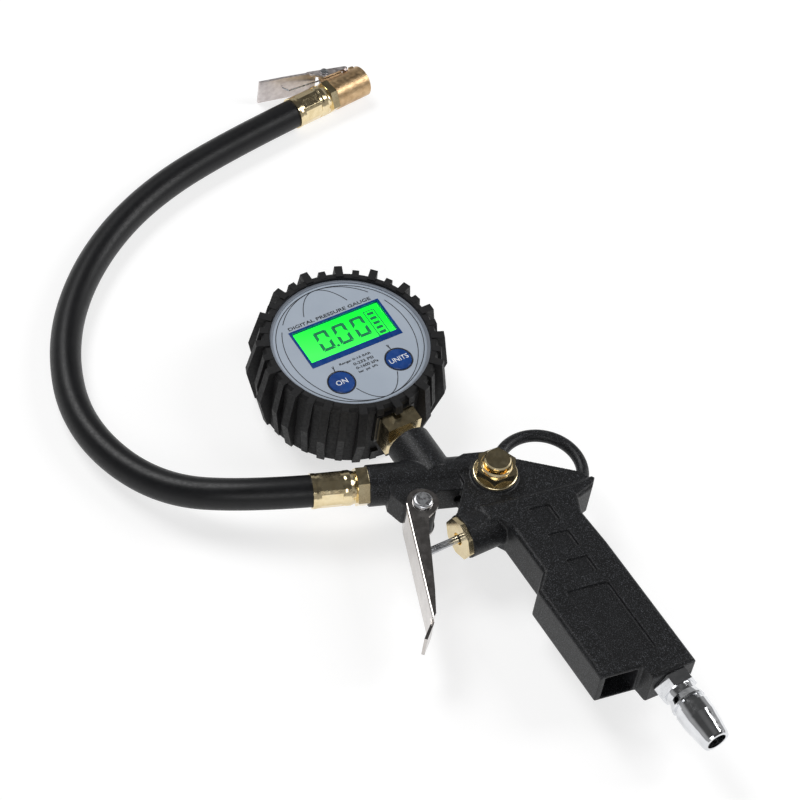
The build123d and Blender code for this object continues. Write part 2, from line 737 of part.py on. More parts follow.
def make_case():
    deck_top = -0.5
    deck_under = -2.5
    split = -9.0
    inner_r = case_r - case_wall
    with BuildPart() as case_front:
        with BuildSketch(dial_section(0)):
            with BuildLine():
                Polyline((0, deck_under), (inner_r, deck_under), (inner_r, split),
                         (case_r, split), (case_r, 0), (32.2, 0), (32.2, 0.5), (face_r, 0.5),
                         (face_r, deck_top), (0, deck_top), close=True)
            make_face()
        revolve(axis=dial_axis)
        with BuildSketch(dial.offset(-20.0)):
            with Locations(*post_points()):
                Circle(3.0)
        extrude(amount=20.0 + deck_under)
        with BuildSketch(dial.offset(-20.0)):
            with Locations(*post_points()):
                Circle(1.4)
        extrude(amount=7.0, mode=Mode.SUBTRACT)
        with BuildSketch(dial.offset(deck_under)):
            with Locations((lcd_x, lcd_y)):
                Rectangle(lcd_wide, lcd_tall)
            with Locations((-button_x, button_y), (button_x, button_y)):
                Circle(5.55)
        extrude(amount=4.0, mode=Mode.SUBTRACT)
        with BuildSketch(across(stem_line, 26.0)):
            Rectangle(17.1, 15.8)
        extrude(amount=13.0, mode=Mode.SUBTRACT)
    save(case_front, "case_front")

    with BuildPart() as case_back:
        with BuildSketch(dial_section(0)):
            with BuildLine():
                Polyline((0, -case_depth), (case_r, -case_depth), (case_r, split),
                         (inner_r, split), (inner_r, -27.0), (0, -27.0), close=True)
            make_face()
        revolve(axis=dial_axis)
        with BuildSketch(across(stem_line, 30.94)):
            Rectangle(17.0, 15.6)
        extrude(amount=6.6)
        with BuildSketch(dial.offset(-27.0)):
            with Locations(*post_points()):
                Circle(3.0)
        extrude(amount=7.0)
        with BuildSketch(dial.offset(-case_depth)):
            with Locations(*post_points()):
                Circle(1.6)
        extrude(amount=12.0, mode=Mode.SUBTRACT)
        with BuildSketch(dial.offset(-case_depth)):
            with Locations(*post_points()):
                Circle(2.6)
        extrude(amount=1.2, mode=Mode.SUBTRACT)
        with BuildSketch(dial.offset(-case_depth)):
            with Locations((0, 4.0)):
                Rectangle(50.0, 26.0)
        extrude(amount=2.0, mode=Mode.SUBTRACT)
        with BuildSketch(across(stem_line, 28.0)):
            Circle(6.0)
        extrude(amount=12.0, mode=Mode.SUBTRACT)
    save(case_back, "case_back")

    with BuildPart() as case_screws:
        with BuildSketch(dial.offset(-case_depth + 0.1)):
            with Locations(*post_points()):
                Circle(2.4)
        extrude(amount=1.1)
        with BuildSketch(dial.offset(-case_depth + 1.2)):
            with Locations(*post_points()):
                Circle(1.4)
        extrude(amount=14.0)
        with BuildSketch(dial.offset(-case_depth)):
            with Locations(*post_points()):
                Rectangle(3.0, 0.6)
                Rectangle(0.6, 3.0)
        extrude(amount=0.7, mode=Mode.SUBTRACT)
    save(case_screws, "case_screws")


def make_faceplate():
    with BuildPart() as faceplate:
        with BuildSketch(dial.offset(-0.5)):
            Circle(face_r - 0.05)
            with Locations((lcd_x, lcd_y)):
                Rectangle(lcd_wide, lcd_tall, mode=Mode.SUBTRACT)
            with Locations((-button_x, button_y), (button_x, button_y)):
                Circle(5.5, mode=Mode.SUBTRACT)
        extrude(amount=0.5)
    save(faceplate, "faceplate")

    with BuildPart() as lcd_frame:
        with BuildSketch(dial.offset(-1.2)):
            with Locations((lcd_x, lcd_y)):
                Rectangle(lcd_wide - 0.1, lcd_tall - 0.1)
            with Locations((lcd_x, lcd_y + 0.85)):
                Rectangle(39.5, 16.3, mode=Mode.SUBTRACT)
        extrude(amount=1.3)
    save(lcd_frame, "lcd_frame")

    with BuildPart() as lcd_glass:
        with BuildSketch(dial.offset(-2.4)):
            with Locations((lcd_x, lcd_y)):
                Rectangle(lcd_wide - 0.2, lcd_tall - 0.2)
        extrude(amount=1.2)
    save(lcd_glass, "lcd_glass")

    with BuildPart() as lcd_backlight:
        with BuildSketch(dial.offset(-6.5)):
            with Locations((lcd_x, lcd_y)):
                Rectangle(lcd_wide - 0.6, lcd_tall - 0.6)
        extrude(amount=4.1)
    save(lcd_backlight, "lcd_backlight")


def make_gauge_button(x, label):
    with BuildPart() as button:
        with BuildSketch(dial.offset(-3.0)):
            with Locations((x, button_y)):
                Circle(button_r)
        extrude(amount=3.3)
        chamfer(button.edges().group_by(Axis.Z)[-1], length=0.3)
        with BuildSketch(dial.offset(-3.7)):
            with Locations((x, button_y)):
                Circle(6.2)
        extrude(amount=0.8)
    save(button, label)


def make_tactile_switch(x, label):
    with BuildPart() as switch:
        with BuildSketch(dial.offset(-6.5)):
            with Locations((x, button_y)):
                Rectangle(6.0, 6.0)
        extrude(amount=1.5)
        with BuildSketch(dial.offset(-5.0)):
            with Locations((x, button_y)):
                Circle(1.6)
        extrude(amount=0.7)
    save(switch, label)


def make_gauge_inside():
    with BuildPart() as circuit_board:
        with BuildSketch(dial.offset(-8.1)):
            Circle(29.5)
            with Locations((0, -35.5)):
                Rectangle(70.0, 30.0, mode=Mode.SUBTRACT)
            with Locations(*post_points()):
                Circle(3.2, mode=Mode.SUBTRACT)
        extrude(amount=1.6)
    save(circuit_board, "circuit_board")

    with BuildPart() as battery_tray:
        with BuildSketch(dial.offset(-27.0)):
            with Locations((0, 4.0)):
                Rectangle(49.0, 25.0)
                Rectangle(46.6, 22.6, mode=Mode.SUBTRACT)
        extrude(amount=13.5)
        with BuildSketch(dial.offset(-14.7)):
            with Locations((0, 4.0)):
                Rectangle(49.0, 25.0)
        extrude(amount=1.2)
    save(battery_tray, "battery_tray")

    with BuildPart() as battery_cover:
        with BuildSketch(dial.offset(-case_depth + 0.1)):
            with Locations((0, 4.0)):
                Rectangle(49.6, 25.6)
        extrude(amount=1.8)
        with BuildSketch(dial.offset(-case_depth)):
            with Locations((0, -4.0), (0, -2.0), (0, 0)):
                Rectangle(14.0, 0.8)
        extrude(amount=0.7, mode=Mode.SUBTRACT)
    save(battery_cover, "battery_cover")

    with BuildPart() as battery_contacts:
        with BuildSketch(dial.offset(-25.4)):
            with Locations((-22.9, -1.5), (-22.9, 9.5), (22.9, -1.5), (22.9, 9.5)):
                Rectangle(0.5, 8.0)
        extrude(amount=8.0)
    save(battery_contacts, "battery_contacts")


def make_battery(y, label):
    cell_r = 5.25
    line = Plane(origin=dial.from_local_coords(Vector(0, y, -21.4)), x_dir=grip_x, z_dir=up)
    with BuildPart() as battery:
        with BuildSketch(across(line, -22.2)):
            Circle(cell_r)
        extrude(amount=43.4)
        fillet(battery.edges().filter_by(GeomType.CIRCLE), radius=0.6)
        with BuildSketch(across(line, 21.2)):
            Circle(1.9)
        extrude(amount=1.1)
    save(battery, label)


def make_gauge_stem():
    case_flat = 30.94
    shoulder = 23.4
    with BuildPart() as gauge_stem:
        with BuildSketch(across(stem_line, 9.8)):
            Circle(thread_r)
        extrude(amount=10.2)
        with BuildSketch(across(stem_line, 20.0)):
            RegularPolygon(radius=5.6, side_count=6, major_radius=False)
        extrude(amount=shoulder - 20.0)
        with BuildSketch(across(stem_line, shoulder)):
            Rectangle(15.0, 15.0)
        extrude(amount=case_flat - shoulder)
        square_end = gauge_stem.faces().sort_by(spin(stem_line))[-1]
        chamfer(square_end.outer_wire().edges(), length=0.5)
        with BuildSketch(across(stem_line, case_flat - 0.2)):
            Circle(6.0)
        extrude(amount=10.3)
        with BuildSketch(across(stem_line, 9.8)):
            Circle(1.5)
        extrude(amount=40.0, mode=Mode.SUBTRACT)
    save(gauge_stem, "gauge_stem")

    with BuildPart() as stem_nut:
        with BuildSketch(across(stem_line, 37.6, turn=stem_line.y_dir)):
            RegularPolygon(radius=7.5, side_count=6, major_radius=False)
            Circle(6.0, mode=Mode.SUBTRACT)
        extrude(amount=3.4)
    save(stem_nut, "stem_nut")

    with BuildPart() as pressure_sensor:
        with BuildSketch(across(stem_line, 41.04)):
            Circle(5.0)
        extrude(amount=3.6)
    save(pressure_sensor, "pressure_sensor")


make_body_casting()
make_inlet_plug()
make_trigger_lever()
make_trigger_pin()
make_valve_gland()
make_gland_seal()
make_valve_stem()
make_valve_poppet()
make_coil(valve, 11.7, 12.2, 6, 3.6, 0.4, "valve_spring")
make_bleed_valve()
make_coil(bleed, -4.9, 5.8, 4, 3.2, 0.35, "bleed_spring")
make_ferrule(near, "near_ferrule")
make_fitting(near, 7.1, 4.5, 9.0, "near_fitting")
make_hose()
make_ferrule(far, "far_ferrule")
make_fitting(far, 6.6, 3.3, 6.2, "far_fitting")
make_chuck()
make_chuck_lever()
make_chuck_spring()
make_gauge_boot()
make_case()
make_faceplate()
make_gauge_button(-button_x, "button_on")
make_gauge_button(button_x, "button_units")
make_tactile_switch(-button_x, "switch_on")
make_tactile_switch(button_x, "switch_units")
make_gauge_inside()
make_battery(-1.5, "battery_a")
make_battery(9.5, "battery_b")
make_gauge_stem()
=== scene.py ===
"""The looks of the tyre inflator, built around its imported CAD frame. Blender 4.5, metres."""
import json
from math import cos, pi, radians, sin

import bmesh
import bpy
from mathutils import Matrix, Vector

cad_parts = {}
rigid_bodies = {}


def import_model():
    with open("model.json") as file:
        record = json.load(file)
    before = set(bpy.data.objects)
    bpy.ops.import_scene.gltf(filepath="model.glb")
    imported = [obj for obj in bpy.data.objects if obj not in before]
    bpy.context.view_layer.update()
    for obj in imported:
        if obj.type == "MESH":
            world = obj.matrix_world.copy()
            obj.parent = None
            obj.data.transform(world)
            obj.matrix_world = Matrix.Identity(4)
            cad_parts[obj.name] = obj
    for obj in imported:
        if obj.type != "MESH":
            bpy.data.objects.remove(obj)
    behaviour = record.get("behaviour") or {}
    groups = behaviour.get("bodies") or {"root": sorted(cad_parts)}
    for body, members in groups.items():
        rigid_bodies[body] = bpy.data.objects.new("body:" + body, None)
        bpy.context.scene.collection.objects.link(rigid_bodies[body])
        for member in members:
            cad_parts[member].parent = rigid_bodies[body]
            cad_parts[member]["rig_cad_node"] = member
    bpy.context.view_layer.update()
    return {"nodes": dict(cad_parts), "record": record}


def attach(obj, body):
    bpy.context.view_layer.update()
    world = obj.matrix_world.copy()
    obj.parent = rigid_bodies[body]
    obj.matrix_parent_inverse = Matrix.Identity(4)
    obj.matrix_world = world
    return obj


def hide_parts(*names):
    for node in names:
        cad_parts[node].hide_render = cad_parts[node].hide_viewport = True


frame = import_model()
nodes = frame["nodes"]

MM = 0.001
GUN = Vector((-10.65, 13.39, 20.6)) * MM     # barrel axis meets the gauge stem's axis
LEAN = radians(20.0)
GRIP_X = Vector((cos(LEAN), sin(LEAN), 0.0))
GRIP_Y = Vector((-sin(LEAN), cos(LEAN), 0.0))
UP = Vector((0.0, 0.0, 1.0))
DIAL = GUN + GRIP_Y * 66.94 * MM + UP * 10.4 * MM
BUTTON_X = 13.2              # the dial's own frame from here on, in millimetres
BUTTON_Y = -15.9
PRINT_TOP = 0.07             # top of the print on the faceplate
WORD_TOP = 0.33              # top of the words on the buttons
MARKS_TOP = -1.08            # top of the marks on the screen's glass
PRINT_THICK = 0.10
LINE_WIDE = 0.30             # thin lines of the dial


def dial_point(x, y, z=0.0):
    """A point in the dial's own frame, given in millimetres."""
    return DIAL + GRIP_X * x * MM + GRIP_Y * y * MM + UP * z * MM


# ---------------------------------------------------------------- camera
CAMERA_POS = Vector((-223.98, -562.70, 843.49)) * MM
CAMERA_RIGHT = Vector((0.9763, -0.1901, 0.1037))
CAMERA_BACK = Vector((-0.1978, -0.5875, 0.7847))
CAMERA_LENS = 118.6

camera_data = bpy.data.cameras.new("camera")
camera_data.lens = CAMERA_LENS
camera_data.sensor_width = 36.0
camera_data.clip_start = 0.05
camera_data.clip_end = 20.0
camera = bpy.data.objects.new("camera", camera_data)
back = CAMERA_BACK.normalized()
right = (CAMERA_RIGHT - back * CAMERA_RIGHT.dot(back)).normalized()
upward = back.cross(right)
turn = Matrix((right, upward, back)).transposed().to_4x4()
camera.matrix_world = Matrix.Translation(CAMERA_POS) @ turn
bpy.context.scene.collection.objects.link(camera)
bpy.context.scene.camera = camera


# ---------------------------------------------------------------- materials
def add(tree, kind, **values):
    node = tree.nodes.new(kind)
    for key, value in values.items():
        setattr(node, key, value)
    return node


def mapped(tree, stretch=(1.0, 1.0, 1.0)):
    """Object coordinates in millimetres, stretched along X, Y and Z."""
    coords = add(tree, "ShaderNodeTexCoord")
    mapping = add(tree, "ShaderNodeMapping")
    mapping.inputs["Scale"].default_value = [1000.0 * s for s in stretch]
    tree.links.new(coords.outputs["Object"], mapping.inputs["Vector"])
    return mapping.outputs["Vector"]


def noise(tree, vector, per_mm, detail=3.0, rough=0.5):
    texture = add(tree, "ShaderNodeTexNoise")
    texture.inputs["Scale"].default_value = per_mm
    texture.inputs["Detail"].default_value = detail
    texture.inputs["Roughness"].default_value = rough
    tree.links.new(vector, texture.inputs["Vector"])
    return texture.outputs["Fac"]


def ramp(tree, factor, stops):
    """Colour or grey steps: stops are (position, value), value a number or an RGB."""
    node = add(tree, "ShaderNodeValToRGB")
    elements = node.color_ramp.elements
    while len(elements) < len(stops):
        elements.new(0.5)
    for element, (position, value) in zip(elements, stops):
        element.position = position
        rgb = (value, value, value) if isinstance(value, (int, float)) else value
        element.color = (*rgb, 1.0)
    tree.links.new(factor, node.inputs["Fac"])
    return node.outputs["Color"]


def mix(tree, factor, first, second):
    node = add(tree, "ShaderNodeMix", data_type="RGBA")
    for socket, value in ((0, factor), (6, first), (7, second)):
        if isinstance(value, bpy.types.NodeSocket):
            tree.links.new(value, node.inputs[socket])
        elif isinstance(value, (int, float)):
            node.inputs[socket].default_value = value
        else:
            node.inputs[socket].default_value = (*value, 1.0)
    return node.outputs[2]


def bump(tree, height, strength, distance_mm):
    node = add(tree, "ShaderNodeBump")
    node.inputs["Strength"].default_value = strength
    node.inputs["Distance"].default_value = distance_mm * MM
    tree.links.new(height, node.inputs["Height"])
    return node.outputs["Normal"]


def surface(name, color, roughness, normal=None, metal=0.0, spec=0.5, coat=0.0):
    """A material whose colour, roughness and normal may be sockets made by its recipe."""
    material = bpy.data.materials.new(name)
    material.use_nodes = True
    tree = material.node_tree
    shader = tree.nodes["Principled BSDF"]
    shader.inputs["Metallic"].default_value = metal
    shader.inputs["Specular IOR Level"].default_value = spec
    shader.inputs["Coat Weight"].default_value = coat
    shader.inputs["Coat Roughness"].default_value = 0.15
    for label, maker in (("Base Color", color), ("Roughness", roughness), ("Normal", normal)):
        value = maker(tree) if callable(maker) else maker
        if value is None:
            continue
        if isinstance(value, bpy.types.NodeSocket):
            tree.links.new(value, shader.inputs[label])
        elif isinstance(value, (int, float)):
            shader.inputs[label].default_value = value
        else:
            shader.inputs[label].default_value = (*value, 1.0)
    return material


def blotched(low, high, per_mm, detail=3.0):
    """Colour or roughness wandering between two values."""
    return lambda tree: ramp(tree, noise(tree, mapped(tree), per_mm, detail),
                             [(0.35, low), (0.65, high)])


def grained(per_mm, strength, depth_mm, stretch=(1.0, 1.0, 1.0), detail=4.0):
    return lambda tree: bump(tree, noise(tree, mapped(tree, stretch), per_mm, detail),
                             strength, depth_mm)


def make_powder_coat():
    """Black cast alloy under a speckled powder coat with a fine orange-peel."""
    def color(tree):
        vector = mapped(tree)
        speck = ramp(tree, noise(tree, vector, 3.4, 1.0), [(0.60, 0.0), (0.68, 1.0)])
        dust = ramp(tree, noise(tree, vector, 1.5, 4.0, 0.7), [(0.5, 0.0), (0.72, 0.55)])
        base = ramp(tree, noise(tree, vector, 0.09, 3.0),
                    [(0.3, (0.0035, 0.0037, 0.0042)), (0.7, (0.006, 0.0063, 0.007))])
        dusty = mix(tree, dust, base, (0.014, 0.0145, 0.016))
        return mix(tree, speck, dusty, (0.085, 0.09, 0.10))

    def roughness(tree):
        return ramp(tree, noise(tree, mapped(tree), 1.9, 3.0), [(0.3, 0.34), (0.7, 0.52)])

    return surface("powder_coat", color, roughness, grained(1.7, 0.55, 0.10), spec=0.28)


def make_brass(name, light, dark, rough_low, rough_high, streak):
    def color(tree):
        vector = mapped(tree)
        tarnish = ramp(tree, noise(tree, vector, 0.28, 5.0, 0.6), [(0.35, 0.0), (0.75, 1.0)])
        return mix(tree, tarnish, light, dark)

    return surface(name, color, blotched(rough_low, rough_high, 0.5),
                   grained(0.9, 0.20, 0.02, streak), metal=1.0)


def make_hose_rubber():
    """Satin black rubber with the faint cloth print that a wrapped hose keeps."""
    def color(tree):
        return ramp(tree, noise(tree, mapped(tree), 0.12, 4.0, 0.6),
                    [(0.3, (0.004, 0.0042, 0.005)), (0.7, (0.007, 0.0073, 0.0085))])

    def normal(tree):
        vector = mapped(tree)
        fine = noise(tree, vector, 3.0, 2.0)
        return bump(tree, fine, 0.35, 0.05)

    return surface("hose_rubber", color, blotched(0.36, 0.46, 0.8), normal, spec=0.30)


def make_boot_rubber():
    def color(tree):
        vector = mapped(tree)
        scuff = ramp(tree, noise(tree, vector, 0.8, 5.0, 0.7), [(0.55, 0.0), (0.8, 0.6)])
        base = ramp(tree, noise(tree, vector, 0.15, 3.0),
                    [(0.3, (0.004, 0.004, 0.0045)), (0.7, (0.008, 0.008, 0.009))])
        return mix(tree, scuff, base, (0.020, 0.020, 0.021))

    return surface("boot_rubber", color, blotched(0.50, 0.70, 0.9),
                   grained(1.6, 0.5, 0.08), spec=0.32)


MATERIALS = {
    "casting": make_powder_coat(),
    "hose_rubber": make_hose_rubber(),
    "boot_rubber": make_boot_rubber(),
    "brass": make_brass("brass", (0.86, 0.73, 0.47), (0.76, 0.61, 0.35), 0.13, 0.21,
                        (1.0, 1.0, 2.0)),
    "brass_dull": make_brass("brass_dull", (0.66, 0.47, 0.27), (0.42, 0.27, 0.14), 0.30, 0.46,
                             (1.0, 1.0, 3.0)),
    "chrome": surface("chrome", blotched((0.70, 0.71, 0.73), (0.80, 0.81, 0.83), 0.2),
                      blotched(0.06, 0.16, 0.6), grained(0.35, 0.25, 0.05), metal=1.0),
    "lever_steel": surface("lever_steel",
                           blotched((0.52, 0.49, 0.47), (0.60, 0.57, 0.55), 0.2),
                           blotched(0.14, 0.22, 0.4), grained(0.4, 0.12, 0.02), metal=1.0),
    "nickel": surface("nickel", blotched((0.58, 0.53, 0.52), (0.72, 0.67, 0.66), 0.4),
                      blotched(0.30, 0.45, 0.9), grained(1.2, 0.3, 0.03), metal=1.0),
    "pin_steel": surface("pin_steel", blotched((0.45, 0.46, 0.48), (0.62, 0.63, 0.65), 0.5),
                         blotched(0.22, 0.38, 0.8), grained(0.8, 0.3, 0.03), metal=1.0),
    "spring_steel": surface("spring_steel", blotched((0.40, 0.41, 0.43), (0.55, 0.56, 0.58), 0.7),
                            blotched(0.2, 0.35, 1.0), grained(1.5, 0.2, 0.02), metal=1.0),
    "seal_rubber": surface("seal_rubber", blotched(0.010, 0.018, 0.5),
                           blotched(0.45, 0.6, 0.8), grained(1.8, 0.3, 0.04)),
    "case_plastic": surface("case_plastic",
                            blotched((0.235, 0.265, 0.315), (0.26, 0.29, 0.34), 0.1),
                            blotched(0.40, 0.52, 0.8), grained(2.2, 0.25, 0.03)),
    "case_black": surface("case_black", blotched(0.012, 0.020, 0.3),
                          blotched(0.42, 0.55, 0.7), grained(2.0, 0.4, 0.05)),
    "face_print": surface("face_print",
                          blotched((0.375, 0.43, 0.505), (0.40, 0.455, 0.53), 0.06),
                          blotched(0.36, 0.46, 0.5), grained(2.4, 0.12, 0.02)),
    "blue_plastic": surface("blue_plastic",
                            blotched((0.0, 0.036, 0.19), (0.004, 0.050, 0.24), 0.15),
                            blotched(0.22, 0.34, 0.5), grained(1.5, 0.12, 0.02), coat=0.3),
    "button_plastic": surface("button_plastic",
                              blotched((0.002, 0.040, 0.20), (0.006, 0.055, 0.25), 0.3),
                              blotched(0.30, 0.42, 0.5), grained(1.5, 0.15, 0.02)),
    "board": surface("board", blotched((0.01, 0.12, 0.05), (0.02, 0.20, 0.08), 0.4),
                     blotched(0.3, 0.5, 0.5), grained(1.0, 0.3, 0.04)),
    "cell": surface("cell", blotched((0.05, 0.05, 0.06), (0.10, 0.10, 0.12), 0.2),
                    blotched(0.2, 0.35, 0.4), grained(0.8, 0.1, 0.02), coat=0.4),
    "contact": surface("contact", blotched((0.62, 0.60, 0.52), (0.74, 0.72, 0.66), 0.5),
                       blotched(0.25, 0.4, 0.7), grained(1.2, 0.2, 0.02), metal=1.0),
    "ink": surface("ink", blotched((0.012, 0.013, 0.018), (0.022, 0.024, 0.030), 0.8),
                   blotched(0.45, 0.6, 0.9), None),
    "white_ink": surface("white_ink", blotched((0.72, 0.76, 0.82), (0.82, 0.85, 0.90), 0.8),
                         blotched(0.45, 0.6, 0.9), None),
    "digit": surface("digit", blotched((0.0, 0.19, 0.07), (0.0, 0.23, 0.09), 0.5),
                     blotched(0.35, 0.5, 0.9), None),
}


def lit_screen():
    """A lit liquid-crystal window: green, brighter and paler low in the middle."""
    material = bpy.data.materials.new("lcd_lit")
    material.use_nodes = True
    tree = material.node_tree
    shader = tree.nodes["Principled BSDF"]
    vector = mapped(tree)
    wander = noise(tree, vector, 0.035, 2.0)
    coords = add(tree, "ShaderNodeTexCoord")
    split = add(tree, "ShaderNodeSeparateXYZ")
    tree.links.new(coords.outputs["Generated"], split.inputs["Vector"])
    down = ramp(tree, split.outputs["Y"], [(0.25, 1.0), (0.75, 0.0)])
    soft = mix(tree, 0.35, down, wander)
    color = mix(tree, soft, (0.0, 0.90, 0.08), (0.16, 0.98, 0.24))
    tree.links.new(color, shader.inputs["Base Color"])
    tree.links.new(color, shader.inputs["Emission Color"])
    shader.inputs["Emission Strength"].default_value = 0.55
    shader.inputs["Roughness"].default_value = 0.25
    return material


MATERIALS["lcd_green"] = lit_screen()

glass = surface("glass", blotched((0.90, 0.95, 0.92), (0.94, 0.98, 0.95), 0.1),
                blotched(0.04, 0.08, 0.3), None)
glass.node_tree.nodes["Principled BSDF"].inputs["Transmission Weight"].default_value = 1.0
glass.node_tree.nodes["Principled BSDF"].inputs["IOR"].default_value = 1.2
MATERIALS["glass"] = glass


def paint(piece, slot, material=None):
    piece.data.materials.clear()
    piece.data.materials.append(MATERIALS[material or slot])


def link(name, mesh):
    piece = bpy.data.objects.new(name, mesh)
    bpy.context.scene.collection.objects.link(piece)
    return piece


def smooth(piece):
    for polygon in piece.data.polygons:
        polygon.use_smooth = True


# ---------------------------------------------------------------- hose
HOSE_POINTS = [
    (-33.0, 0.0, 20.6), (-70.9, 0.0, 20.6), (-107.4, 15.6, 9.6), (-132.7, 51.1, 6.4),
    (-134.6, 94.1, 6.4), (-119.0, 135.1, 6.4), (-89.8, 170.6, 6.5), (-45.6, 198.8, 7.0),
    (-5.0, 219.2, 7.0),
]
HOSE_D = 0.0127


def make_hose():
    curve = bpy.data.curves.new("hose_line", "CURVE")
    curve.dimensions = "3D"
    spline = curve.splines.new("NURBS")
    spline.points.add(len(HOSE_POINTS) - 1)
    for point, (x, y, z) in zip(spline.points, HOSE_POINTS):
        point.co = (GUN.x + x * MM, GUN.y + y * MM, z * MM, 1.0)
    spline.order_u = 3
    spline.use_endpoint_u = True
    spline.resolution_u = 24
    curve.bevel_depth = HOSE_D / 2
    curve.bevel_resolution = 10
    curve.use_fill_caps = True
    hose = bpy.data.objects.new("hose_skin", curve)
    bpy.context.scene.collection.objects.link(hose)
    hose.data.materials.append(MATERIALS["hose_rubber"])
    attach(hose, "gun")
    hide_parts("hose")


make_hose()


# ---------------------------------------------------------------- CAD nodes that stay
SLOT_OF = {s["node"]: s["material_slot"] for s in frame["record"]["subparts"]}
SOFT_EDGE = {
    "inlet_plug": 0.25, "trigger_lever": 0.25, "trigger_pin": 0.2, "valve_gland": 0.3,
    "bleed_nut": 0.3, "bleed_button": 0.2, "bleed_washer": 0.15, "near_fitting": 0.3,
    "near_ferrule": 0.25, "far_ferrule": 0.25, "far_fitting": 0.3, "chuck_body": 0.35,
    "chuck_lever": 0.15, "gauge_stem": 0.35, "gauge_boot": 0.35, "case_front": 0.15,
    "case_back": 0.25, "lcd_frame": 0.12, "button_on": 0.15, "button_units": 0.15,
}
for name, piece in nodes.items():
    paint(piece, SLOT_OF[name])
    smooth(piece)
    if name in SOFT_EDGE:
        bevel = piece.modifiers.new("edge", "BEVEL")
        bevel.width = SOFT_EDGE[name] * MM
        bevel.segments = 2
        bevel.limit_method = "ANGLE"
        bevel.angle_limit = radians(35)
        bevel.use_clamp_overlap = True
        weighted = piece.modifiers.new("weighted", "WEIGHTED_NORMAL")
        weighted.keep_sharp = True
        weighted.weight = 80


# ---------------------------------------------------------------- cast body
def make_casting():
    mesh = nodes["body_casting"].data.copy()
    mesh.name = "casting_skin"
    casting = link("casting_skin", mesh)
    remesh = casting.modifiers.new("cast", "REMESH")
    remesh.mode = "VOXEL"
    remesh.voxel_size = 0.36 * MM
    remesh.use_smooth_shade = True
    soften = casting.modifiers.new("soften", "SMOOTH")
    soften.factor = 0.5
    soften.iterations = 3
    paint(casting, "casting")
    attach(casting, "gun")
    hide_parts("body_casting")


make_casting()


# ---------------------------------------------------------------- dial print
def strip(bm, points, width, z):
    """A flat printed line of that width in mm through dial points."""
    left = []
    right_side = []
    for index, point in enumerate(points):
        before = points[max(index - 1, 0)]
        after = points[min(index + 1, len(points) - 1)]
        along = Vector((after[0] - before[0], after[1] - before[1])).normalized()
        side = Vector((-along.y, along.x)) * width / 2
        left.append(bm.verts.new(dial_point(point[0] + side.x, point[1] + side.y, z)))
        right_side.append(bm.verts.new(dial_point(point[0] - side.x, point[1] - side.y, z)))
    for a, b, c, d in zip(left, left[1:], right_side[1:], right_side):
        bm.faces.new((d, c, b, a))


def solid_from(name, bm, thick, slot, material, body="gun"):
    """Flat faces grown downwards into a closed thin solid."""
    bmesh.ops.recalc_face_normals(bm, faces=bm.faces)
    for face in bm.faces:
        if face.normal.z < 0:
            face.normal_flip()
    mesh = bpy.data.meshes.new(name)
    bm.to_mesh(mesh)
    bm.free()
    piece = link(name, mesh)
    solidify = piece.modifiers.new("thick", "SOLIDIFY")
    solidify.thickness = thick * MM
    solidify.offset = -1.0
    paint(piece, slot, material)
    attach(piece, body)
    return piece


def oval(rx, ry, steps=96):
    return [(rx * cos(2 * pi * k / steps), ry * sin(2 * pi * k / steps))
            for k in range(steps + 1)]


def clear_of_windows(point):
    """False where the screen, a button or the printed column lies."""
    x, y = point
    if -21.5 < x < 23.0 and -6.2 < y < 19.2:
        return False
    if abs(abs(x) - 13.2) < 6.4 and (abs(x) - 13.2) ** 2 + (y + 15.9) ** 2 < 5.9 ** 2:
        return False
    return True


def make_dial_lines():
    bm = bmesh.new()
    for rx, ry, width in ((29.7, 29.7, 0.32), (26.4, 29.7, LINE_WIDE), (13.4, 29.7, LINE_WIDE)):
        run = []
        for point in oval(rx, ry):
            if clear_of_windows(point):
                run.append(point)
                continue
            if len(run) > 1:
                strip(bm, run, width, PRINT_TOP)
            run = []
        if len(run) > 1:
            strip(bm, run, width, PRINT_TOP)
    solid_from("dial_lines", bm, PRINT_THICK, "face_print", "ink")


def poly(bm, corners, z):
    bm.faces.new([bm.verts.new(dial_point(x, y, z)) for x, y in corners])


def rect(bm, x0, y0, x1, y1, z):
    poly(bm, [(x0, y0), (x1, y0), (x1, y1), (x0, y1)], z)


def digit_zero(bm, x, y, wide, tall, bar, z, lean=0.03):
    """Six lit bars of a seven-bar zero, their ends cut at a slant."""
    gap = 0.22
    half = tall / 2

    def at(u, v):
        return (x + u + lean * v, y + v)

    def bar_up(u, v0, v1, inner):
        poly(bm, [at(u, v0 + gap), at(u + inner, v0 + gap + bar * 0.9),
                  at(u + inner, v1 - gap - bar * 0.6), at(u, v1 - gap)], z)

    def bar_across(v, inner):
        poly(bm, [at(gap, v), at(wide - gap, v), at(wide - gap - bar * 0.8, v + inner),
                  at(gap + bar * 0.8, v + inner)], z)

    for v0, v1 in ((0.0, half), (half, tall)):
        bar_up(0.0, v0, v1, bar)
        bar_up(wide, v0, v1, -bar)
    bar_across(0.0, bar)
    bar_across(tall, -bar)


